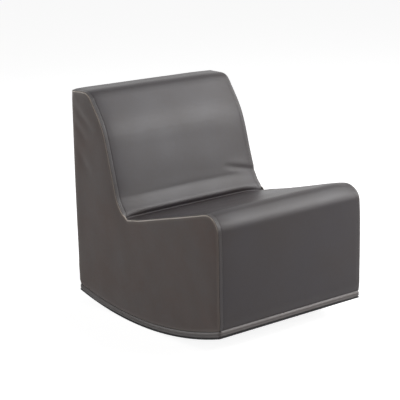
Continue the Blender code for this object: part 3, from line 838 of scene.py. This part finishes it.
# Rings of points along a side's seam, in millimetres from it.
RING_OFFSETS = (0.5, 1.1, 1.8, 2.6, 3.6, 5.0, 7.0, 9.5, 12.5, 16.0)
FIELD_STEP = 0.0065
OUTLINE_STEP = 0.0035
SIDE_ROLL = 0.0050
SIDE_ROLL_DEPTH = 0.0022
SIDE_BELOW = 0.0011
SIDE_SWELL = 0.0020
SWELL_WITHIN = 0.022
SIDE_UNEVEN = (0.060, 0.0008)
SEAM_NEAR = 0.008
SEAM_FADE = 0.004
SEAM_MOVES = (-0.0018, 0.001)
CORNER_TURN = math.radians(25.0)


def panel_loop(node, facing):
    """The outline of a side panel's outer side, as a loop of places seen from the side."""
    bm, mesh = merged_copy(node, node)
    skin = outer_side(bm, Vector(facing))
    edges = [edge for face in skin for edge in face.edges]
    joined = neighbours(edge for edge in edges if sum(other in skin for other in edge.link_faces) == 1)
    points = walked(joined, min(joined, key=lambda vertex: vertex.co.y + vertex.co.z))
    face_x = max(abs(vertex.co.x) for vertex in joined)
    bm.free()
    bpy.data.meshes.remove(mesh)
    area = np.sum(points[:, 0] * np.roll(points[:, 1], -1) - points[:, 1] * np.roll(points[:, 0], -1))
    return (points if area > 0 else np.vstack((points[:1], points[:0:-1]))), face_x


def even_loop(loop):
    """The same loop with points evenly spaced on smooth runs between its sharp corners."""
    back = loop - np.roll(loop, 1, axis=0)
    ahead = np.roll(loop, -1, axis=0) - loop
    turn = np.arctan2(back[:, 0] * ahead[:, 1] - back[:, 1] * ahead[:, 0], np.sum(back * ahead, axis=1))
    corners = [index for index in range(len(loop)) if abs(turn[index]) > CORNER_TURN]
    result = []
    for first, last in zip(corners, corners[1:] + [corners[0] + len(loop)]):
        run = loop[[index % len(loop) for index in range(first, last + 1)]]
        lengths = run_lengths(run)
        count = max(2, round(lengths[-1] / OUTLINE_STEP))
        result.append(through(lengths, run, np.linspace(0.0, lengths[-1], count + 1)[:-1]))
    return np.vstack(result)


def loop_distance(points, loop):
    """How far each point is from a loop."""
    start, end = loop, np.roll(loop, -1, axis=0)
    along = end - start
    size = np.maximum(np.sum(along**2, axis=1), 1e-12)
    result = np.empty(len(points))
    for first in range(0, len(points), 2000):
        part = points[first : first + 2000, None, :] - start[None]
        share = np.clip(np.sum(part * along, axis=2) / size, 0.0, 1.0)
        away = part - share[..., None] * along
        result[first : first + 2000] = np.sqrt(np.min(np.sum(away**2, axis=2), axis=1))
    return result


def inside_loop(points, loop):
    """Which points are inside a loop."""
    start, end = loop, np.roll(loop, -1, axis=0)
    inside = np.zeros(len(points), dtype=bool)
    for (ay, az), (by, bz) in zip(start, end):
        crosses = (az > points[:, 1]) != (bz > points[:, 1])
        if az != bz:
            inside ^= crosses & (points[:, 0] < ay + (by - ay) * (points[:, 1] - az) / (bz - az))
    return inside


def drawn_in(loop, distance):
    """A loop's points, moved inwards."""
    tangent = np.roll(loop, -1, axis=0) - np.roll(loop, 1, axis=0)
    tangent /= np.linalg.norm(tangent, axis=1)[:, None]
    return loop + distance * np.column_stack((-tangent[:, 1], tangent[:, 0]))


def under_strip(loop, side):
    """A side panel's loop drawn out or in so that it lies just under the strip's edge."""
    seam = np.vstack([panel.edges[:, (side + 1) // 2] for panel in (seat, back, rear)])
    gap = loop_distance(loop, np.vstack((seam, seam[::-1])))
    near = np.clip((SEAM_NEAR - gap) / SEAM_FADE, 0.0, 1.0)
    return drawn_in(loop, (near * np.clip(SIDE_BELOW - gap, *SEAM_MOVES))[:, None])


def panel_field(loop, offsets, step):
    """Points that fill a loop: rings along it, then an even field, joined by triangles."""
    groups = [loop]
    for offset in offsets:
        ring = drawn_in(loop, offset)
        groups.append(ring[loop_distance(ring, loop) > 0.97 * offset])
    low, high = loop.min(axis=0), loop.max(axis=0)
    rows = np.arange(low[1], high[1], step * 0.866)
    field = []
    for row, z in enumerate(rows):
        ys = np.arange(low[0] + (row % 2) * step / 2, high[0], step)
        field.append(np.column_stack((ys, np.full(len(ys), z))))
    field = np.vstack(field)
    field = field[inside_loop(field, loop)]
    groups.append(field[loop_distance(field, loop) > max(offsets, default=0.0) + 0.5 * step])
    points = np.vstack(groups)
    count = len(loop)
    ring_edges = [(index, (index + 1) % count) for index in range(count)]
    made = geometry.delaunay_2d_cdt([Vector(point) for point in points], ring_edges, [], 1, 1e-7)
    return np.array([tuple(point) for point in made[0]]), [tuple(face) for face in made[2]]


def side_sheet(name, outline, loop, offsets, step, side, face_x):
    """A side as a mesh, fuller between its seams, with its places and how far they are from a seam."""
    flat, faces = panel_field(outline, offsets, step)
    distance = loop_distance(flat, loop)
    swell = SIDE_SWELL * (1 - np.exp(-distance / SWELL_WITHIN))
    places = np.column_stack((side * (face_x + swell), flat))
    mesh = bpy.data.meshes.new(name)
    mesh.from_pydata(places.tolist(), [], [face[::side] for face in faces])
    return mesh, places, distance


def side_cover(node, side, folds, material):
    """One side of the cover, settled as cloth and then given its rolled edge and folds."""
    loop, face_x = panel_loop(node, (side, 0.0, 0.0))
    loop = under_strip(even_loop(loop), side)
    rings = [offset / 1000 for offset in RING_OFFSETS]
    mesh, places, distance = side_sheet(node, loop, loop, rings, FIELD_STEP, side, face_x)
    normals = mesh_normals(mesh)
    sheet, spots, gap = side_sheet(f"{node}_cloth", loop[::2], loop, [], CLOTH_STEP, side, face_x)
    places = places + carried(places, spots, settled_folds(sheet, gap))
    lift = -rolled(distance, SIDE_ROLL, SIDE_ROLL_DEPTH)
    lift += undulation(places, *SIDE_UNEVEN) * np.clip(distance / CALM_WITHIN, 0.0, 1.0)
    for fold in folds:
        lift += fold_line(places, *fold)
    final = pulled(places + normals * lift[:, None])
    mesh.vertices.foreach_set("co", final.ravel())
    mesh.update()
    # Painted highlight: the rolled rim is paled far more where it faces up than on the upright seams, on top
    # of a little even edge wear.
    upward = np.clip(mesh_normals(mesh)[:, 2], 0.0, 0.6)
    wear = (0.12 + 1.8 * upward) * bump_curve(distance, 0.0012, 0.0020)
    wear += 0.04 * bump_curve(distance, 0.0050, 0.0040)
    cover_piece(node, mesh, wear, "side_vinyl", material)


SIDE_VINYL = vinyl_material("side_vinyl", SIDE_COLOUR, SIDE_WARM, SIDE_EDGE_WEAR_AND_HIGHLIGHT, 0.42)
LEFT_FOLDS = (
    ((-0.26, 0.325, 0.600), (-0.26, 0.235, 0.540), 0.009, 0.0011),
    ((-0.26, 0.330, 0.560), (-0.26, 0.260, 0.500), 0.010, 0.0009),
    ((-0.26, 0.318, 0.480), (-0.26, 0.250, 0.400), 0.012, 0.0008),
)
side_cover("left_side_panel", -1, LEFT_FOLDS, SIDE_VINYL)
side_cover("right_side_panel", 1, (), SIDE_VINYL)


# Topstitching
# One row of grey thread on the strip beside each side seam, which holds the seam's edges flat under it.
# The stitches are beads laid along each line, dipping into the vinyl at both ends.

THREAD_COLOUR = (0.070, 0.067, 0.067)
STITCH_PITCH = 0.0046
STITCH_LENGTH = 0.0039
THREAD_THICKNESS = 0.0008


def thread_material():
    """Twisted polyester thread, with fine slanting lines."""
    material, tree, shader = blank_material("thread")
    place = object_place(tree)
    twist = add_node(tree, "ShaderNodeTexWave", Vector=place, Scale=900.0, Distortion=1.0)
    twist.bands_direction = "DIAGONAL"
    tint = tinted(tree, twist.outputs["Fac"], THREAD_COLOUR, 0.7, 1.2)
    dress(tree, shader, tint, 0.6, twist.outputs["Fac"], 0.4, 0.0001)
    return material


def node_tree_with(name, **sizes):
    """A Geometry Nodes tree with a geometry in and out and named sizes."""
    tree = bpy.data.node_groups.new(name, "GeometryNodeTree")
    tree.interface.new_socket(name="Geometry", in_out="OUTPUT", socket_type="NodeSocketGeometry")
    tree.interface.new_socket(name="Geometry", in_out="INPUT", socket_type="NodeSocketGeometry")
    for size in sizes:
        tree.interface.new_socket(name=size, in_out="INPUT", socket_type="NodeSocketFloat")
    return tree, tree.nodes.new("NodeGroupInput"), tree.nodes.new("NodeGroupOutput")


def finish_tree(tree, instances, material, exit_node):
    """Make the instances real, give them their material and put them out."""
    real = add_node(tree, "GeometryNodeRealizeInstances", Geometry=instances)
    finish = add_node(tree, "GeometryNodeSetMaterial", Geometry=real.outputs["Geometry"], Material=material)
    tree.links.new(finish.outputs["Geometry"], exit_node.inputs["Geometry"])


def spaced_spots(tree, entry):
    """Spots a pitch apart along the curves that come in."""
    spots = tree.nodes.new("GeometryNodeCurveToPoints")
    spots.mode = "LENGTH"
    set_inputs(tree, spots, Curve=entry.outputs["Geometry"], Length=entry.outputs["Pitch"])
    return spots


def stitch_tree(sizes, material):
    """Beads spaced along curves, each turned to lie along its curve."""
    tree, entry, exit_node = node_tree_with("topstitching", **sizes)
    spots = spaced_spots(tree, entry)
    bead = add_node(tree, "GeometryNodeMeshUVSphere", Segments=8, Rings=6, Radius=0.5)
    turn = add_node(tree, "FunctionNodeAlignRotationToVector", Vector=spots.outputs["Tangent"])
    turn.axis = "Z"
    thick, long = entry.outputs["Thread"], entry.outputs["Length"]
    size = add_node(tree, "ShaderNodeCombineXYZ", X=thick, Y=thick, Z=long)
    laid = add_node(
        tree,
        "GeometryNodeInstanceOnPoints",
        Points=spots.outputs["Points"],
        Instance=bead.outputs["Mesh"],
        Rotation=turn.outputs["Rotation"],
        Scale=size.outputs["Vector"],
    )
    finish_tree(tree, laid.outputs["Instances"], material, exit_node)
    return tree


def lines_object(name, lines):
    """Several lines of points as one curve object."""
    curve = bpy.data.curves.new(name, "CURVE")
    curve.dimensions = "3D"
    for line in lines:
        spline = curve.splines.new("POLY")
        spline.points.add(len(line) - 1)
        for point, place in zip(spline.points, line):
            point.co = (*place, 1.0)
    return new_object(name, curve)


def grown(guide, tree, sizes, name):
    """The plain mesh that a Geometry Nodes tree makes from a guide object, which is then removed."""
    modifier = guide.modifiers.new(name, "NODES")
    modifier.node_group = tree
    for item in tree.interface.items_tree:
        if item.in_out == "INPUT" and item.name in sizes:
            modifier[item.identifier] = sizes[item.name]
    depsgraph = bpy.context.evaluated_depsgraph_get()
    mesh = bpy.data.meshes.new_from_object(guide.evaluated_get(depsgraph), depsgraph=depsgraph)
    mesh.name = name
    bpy.data.objects.remove(guide)
    return mesh


stitch_sizes = {"Pitch": STITCH_PITCH, "Length": STITCH_LENGTH, "Thread": THREAD_THICKNESS}
stitch_guide = lines_object("stitch_lines", stitch_lines)
stitches = grown(stitch_guide, stitch_tree(stitch_sizes, thread_material()), stitch_sizes, "topstitching")
stitches.shade_smooth()
new_piece("topstitching", stitches, "chair", "strip_vinyl")


# Zip
# A black coil zip along the foot of the rear panel, by which the cover goes on over the foam.
# Two woven tapes with a row of teeth each, a dark strip behind them that stands in for the shade in the gap
# between the tapes, stops, and a zinc slider with a pull tab.

TAPE_COLOUR = (0.022, 0.022, 0.024)
TOOTH_COLOUR = (0.045, 0.045, 0.048)
ZINC_COLOUR = (0.36, 0.36, 0.37)
TOOTH_PITCH = 0.0015
TOOTH_WIDTH = 0.00095
TAPE_RIB = 0.0009
TAPE_FREE = 0.2330
TAPE_DRAWN = 0.0021
# How far behind the tapes the dark strip that stands in for shade lies, and how thick it is.
SHADE_BACKING_BEHIND = 0.0022
SHADE_BACKING_SHEET = 0.0004
METAL_EDGE = 0.00022
METAL_SHARP = 0.6
ZIP_WELD = 0.000005


def tape_material():
    """Woven tape: fine ribs along it and a herringbone of threads across."""
    material, tree, shader = blank_material("zip_tape")
    place = object_place(tree)
    ribs = add_node(tree, "ShaderNodeTexWave", Vector=place, Scale=0.5 / TAPE_RIB, Distortion=0.6)
    ribs.bands_direction = "Z"
    threads = add_node(tree, "ShaderNodeTexWave", Vector=place, Scale=0.7 / TAPE_RIB, Distortion=0.4)
    threads.bands_direction = "X"
    weave = add_node(tree, "ShaderNodeMix", A=ribs.outputs["Fac"], B=threads.outputs["Fac"])
    tint = tinted(tree, weave.outputs["Result"], TAPE_COLOUR, 0.6, 1.6)
    dress(tree, shader, tint, 0.9, weave.outputs["Result"], 0.6, 0.0002)
    return material


def tooth_material():
    """Black nylon, a little polished where the slider runs."""
    material, tree, shader = blank_material("zip_teeth")
    patches = noise_map(tree, object_place(tree), 700.0, 3.0)
    polish = ranged(tree, patches, (0.0, 1.0), (0.30, 0.50))
    dress(tree, shader, tinted(tree, patches, TOOTH_COLOUR, 0.7, 1.4), polish, patches, 0.2, 0.0001)
    return material


def zinc_material():
    """Tumbled zinc: small dents, faint scratches along it and uneven polish."""
    material, tree, shader = blank_material("zip_metal")
    place = object_place(tree)
    dents = noise_map(tree, place, 450.0, 4.0)
    scratches = add_node(tree, "ShaderNodeTexWave", Vector=place, Scale=700.0, Distortion=4.0)
    scratches.bands_direction = "Z"
    tint = tinted(tree, dents, ZINC_COLOUR, 0.75, 1.15)
    polish = ranged(tree, dents, (0.0, 1.0), (0.24, 0.42))
    shader.inputs["Metallic"].default_value = 1.0
    dress(tree, shader, tint, polish, scratches.outputs["Fac"], 0.12, 0.00005)
    return material


def zip_tape(node, side, material):
    """A woven tape, thicker at its toothed edge, drawn to the other past the stops. Side 1 is the upper."""
    low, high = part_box(node)
    inner_z, outer_z = (low[2], high[2]) if side > 0 else (high[2], low[2])
    middle_y, half = (low[1] + high[1]) / 2, (high[1] - low[1]) / 2
    share = np.array((0.0, 0.02, 0.05, 0.08, 0.12, 0.35, 0.65, 0.97, 1.0))
    thick = half * np.array((0.35, 0.85, 1.0, 0.85, 0.62, 0.60, 0.62, 0.60, 0.35))
    section_y = np.concatenate((thick, -thick[::-1]))
    rows = []
    for x in low[0] + graded(high[0] - low[0], 0.0045, 0.0010, 0.030):
        drawn = TAPE_DRAWN * np.clip((abs(x) - TAPE_FREE) / 0.004, 0.0, 1.0)
        edge_z = inner_z - side * drawn
        section_z = edge_z + (outer_z - edge_z) * np.concatenate((share, share[::-1]))
        wave = 0.00010 * math.sin(x * 210.0)
        flat = np.concatenate((np.minimum(share, 0.5), np.minimum(share[::-1], 0.5)))
        y = middle_y + section_y + wave * flat
        ring = np.column_stack((np.full(len(y), x), y, section_z))
        rows.append(np.vstack((ring, ring[:1])))
    mesh = grid_mesh(node, np.array(rows), False)
    weld(mesh, ZIP_WELD, True)
    give_finish(mesh, material, 50.0)
    new_piece(f"{node}_woven", mesh, "chair", "zip_tape", node)


def zip_backing(material):
    """A thin dark woven strip behind both tapes, which shows dark where the tapes part in place of the foam:
    a sheet standing in for shade.
    """
    low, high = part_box("zip_lower_tape")
    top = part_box("zip_upper_tape")[1][2]
    front, behind = low[1] - SHADE_BACKING_BEHIND, low[1] - SHADE_BACKING_BEHIND - SHADE_BACKING_SHEET
    section = ((front, low[2]), (front, top), (behind, top), (behind, low[2]), (front, low[2]))
    rows = [[(x, y, z) for y, z in section] for x in np.linspace(low[0], high[0], 60)]
    mesh = grid_mesh("zip_backing", np.array(rows), False)
    weld(mesh, ZIP_WELD, True)
    mesh.materials.append(material)
    new_piece("zip_backing", mesh, "chair", "zip_tape")


def one_tooth(width, low, high):
    """A single tooth with eased edges, standing across the row."""
    bm = bmesh.new()
    bmesh.ops.create_cube(bm, size=1.0)
    bmesh.ops.scale(bm, vec=(width, high[1] - low[1], high[2] - low[2]), verts=bm.verts)
    bmesh.ops.bevel(bm, geom=bm.edges, offset=width * 0.28, segments=1, profile=0.5, affect="EDGES")
    mesh = bpy.data.meshes.new("tooth")
    bm.to_mesh(mesh)
    bm.free()
    return new_object("tooth", mesh)


def tooth_tree(tooth, sizes, material):
    """Teeth spaced along a line."""
    tree, entry, exit_node = node_tree_with("zip_teeth", **sizes)
    spots = spaced_spots(tree, entry)
    model = tree.nodes.new("GeometryNodeObjectInfo")
    model.inputs["Object"].default_value = tooth
    points, shape = spots.outputs["Points"], model.outputs["Geometry"]
    laid = add_node(tree, "GeometryNodeInstanceOnPoints", Points=points, Instance=shape)
    finish_tree(tree, laid.outputs["Instances"], material, exit_node)
    return tree


def tooth_row(node, shift, material):
    """A row of teeth in the place of its CAD bar."""
    low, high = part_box(node)
    middle = (np.array(low) + np.array(high)) / 2
    ends = (low[0] + TOOTH_WIDTH / 2 + shift, high[0] - TOOTH_WIDTH / 2)
    tooth = one_tooth(TOOTH_WIDTH, low, high)
    sizes = {"Pitch": TOOTH_PITCH}
    guide = lines_object(f"{node}_line", [[(x, middle[1], middle[2]) for x in ends]])
    mesh = grown(guide, tooth_tree(tooth, sizes, material), sizes, f"{node}_row")
    bpy.data.objects.remove(tooth)
    new_piece(f"{node}_row", mesh, "chair", "zip_teeth", node)


def metal_piece(node, name, body, material):
    """A metal part of the zip: its CAD shape with its edges rounded."""
    bm, mesh = eased_copy(node, name, METAL_SHARP, METAL_EDGE)
    bm.to_mesh(mesh)
    bm.free()
    give_finish(mesh, material, SHADED_SHARP)
    new_piece(name, mesh, body, "zip_metal", node)


TAPE_WEAVE = tape_material()
zip_tape("zip_lower_tape", -1, TAPE_WEAVE)
zip_tape("zip_upper_tape", 1, TAPE_WEAVE)
zip_backing(TAPE_WEAVE)
TOOTH_NYLON = tooth_material()
tooth_row("zip_lower_teeth", 0.0, TOOTH_NYLON)
tooth_row("zip_upper_teeth", TOOTH_PITCH / 2, TOOTH_NYLON)
ZINC = zinc_material()
for stop in ("zip_lower_top_stop", "zip_upper_top_stop", "zip_bottom_stop"):
    metal_piece(stop, f"{stop}_metal", "chair", ZINC)
metal_piece("zip_slider", "slider_body", "slider", ZINC)
metal_piece("zip_pull_tab", "pull_tab", "pull_tab", ZINC)


# Studio
# A pale floor, four large soft lamps at the front right, weaker ones at the left and behind, and the camera.
# Floor and world show white to the camera, and the floor keeps the chair's shadow.

WHITE = (1.0, 1.0, 1.0, 1.0)
FLOOR_COLOUR = (0.55, 0.55, 0.55)
FLOOR_GLOW = 0.88
WORLD_LEVEL = 0.10
LAMP_AIM = (0.0, 0.0, 0.3)
# Each lamp's name, place, width and power.
LAMPS = (
    ("front_low_lamp", (1.95, -2.15, 1.40), 1.6, 30.0),
    ("front_lamp", (1.90, -2.00, 1.85), 1.4, 34.0),
    ("front_high_lamp", (1.90, -1.30, 2.30), 1.4, 24.0),
    ("right_high_lamp", (1.90, -0.40, 2.60), 1.8, 30.0),
    ("left_lamp", (-3.0, -0.6, 1.2), 1.6, 14.5),
    ("rear_lamp", (-0.9, 3.1, 1.0), 1.6, 24.0),
)
CAMERA_AT = (-2.55870, -3.16904, 1.41319)
CAMERA_AZIMUTH = math.radians(-38.3111)
CAMERA_ELEVATION = math.radians(14.8610)
CAMERA_ROLL = math.radians(-1.2687)
CAMERA_LENS = 130.849


def white_when_seen(tree, plain, white, output):
    """Show one shader to the camera, to reflections and through glass, and another to all other rays."""
    rays = tree.nodes.new("ShaderNodeLightPath")
    seen = rays.outputs["Is Camera Ray"]
    for name in ("Is Glossy Ray", "Is Transmission Ray"):
        greater = tree.nodes.new("ShaderNodeMath")
        greater.operation = "MAXIMUM"
        tree.links.new(seen, greater.inputs[0])
        tree.links.new(rays.outputs[name], greater.inputs[1])
        seen = greater.outputs["Value"]
    choice = add_node(tree, "ShaderNodeMixShader", Fac=seen)
    tree.links.new(plain, choice.inputs[1])
    tree.links.new(white, choice.inputs[2])
    tree.links.new(choice.outputs["Shader"], tree.nodes[output].inputs["Surface"])


def studio_floor():
    """A wide floor that looks white but for the chair's shadow."""
    mesh = bpy.data.meshes.new("floor")
    mesh.from_pydata([(-9, -9, 0), (9, -9, 0), (9, 9, 0), (-9, 9, 0)], [], [(0, 1, 2, 3)])
    material, tree, shader = blank_material("floor")
    shader.inputs["Base Color"].default_value = (*FLOOR_COLOUR, 1.0)
    shader.inputs["Roughness"].default_value = 1.0
    shader.inputs["Specular IOR Level"].default_value = 0.0
    glow = add_node(tree, "ShaderNodeEmission", Color=WHITE, Strength=FLOOR_GLOW)
    both = tree.nodes.new("ShaderNodeAddShader")
    tree.links.new(shader.outputs["BSDF"], both.inputs[0])
    tree.links.new(glow.outputs["Emission"], both.inputs[1])
    white_when_seen(tree, shader.outputs["BSDF"], both.outputs["Shader"], "Material Output")
    mesh.materials.append(material)
    new_object("floor", mesh)


def studio_world():
    """Even grey light from all round, which the camera and reflections see as white."""
    world = bpy.data.worlds.new("studio")
    world.use_nodes = True
    tree = world.node_tree
    light = tree.nodes["Background"]
    set_inputs(tree, light, Color=WHITE, Strength=WORLD_LEVEL)
    white = add_node(tree, "ShaderNodeBackground", Color=WHITE, Strength=1.0)
    white_when_seen(tree, light.outputs["Background"], white.outputs["Background"], "World Output")
    bpy.context.scene.world = world


def soft_lamp(name, place, width, power):
    """A large square lamp that points at the chair."""
    lamp = bpy.data.lights.new(name, "AREA")
    lamp.size = width
    lamp.energy = power
    made = new_object(name, lamp)
    made.location = place
    made.rotation_euler = (Vector(LAMP_AIM) - Vector(place)).to_track_quat("-Z", "Y").to_euler()


def studio_camera():
    """The camera, turned and rolled as the chair is seen."""
    camera = bpy.data.cameras.new("camera")
    camera.lens = CAMERA_LENS
    camera.sensor_width = 36.0
    made = new_object("camera", camera)
    tilt = Matrix.Rotation(math.pi / 2 - CAMERA_ELEVATION, 4, "X")
    turn = Matrix.Rotation(CAMERA_AZIMUTH, 4, "Z") @ tilt @ Matrix.Rotation(CAMERA_ROLL, 4, "Z")
    made.location = CAMERA_AT
    made.rotation_euler = turn.to_euler()
    bpy.context.scene.camera = made


studio_floor()
studio_world()
for lamp in LAMPS:
    soft_lamp(*lamp)
studio_camera()
bpy.context.scene.view_settings.view_transform = "Standard"
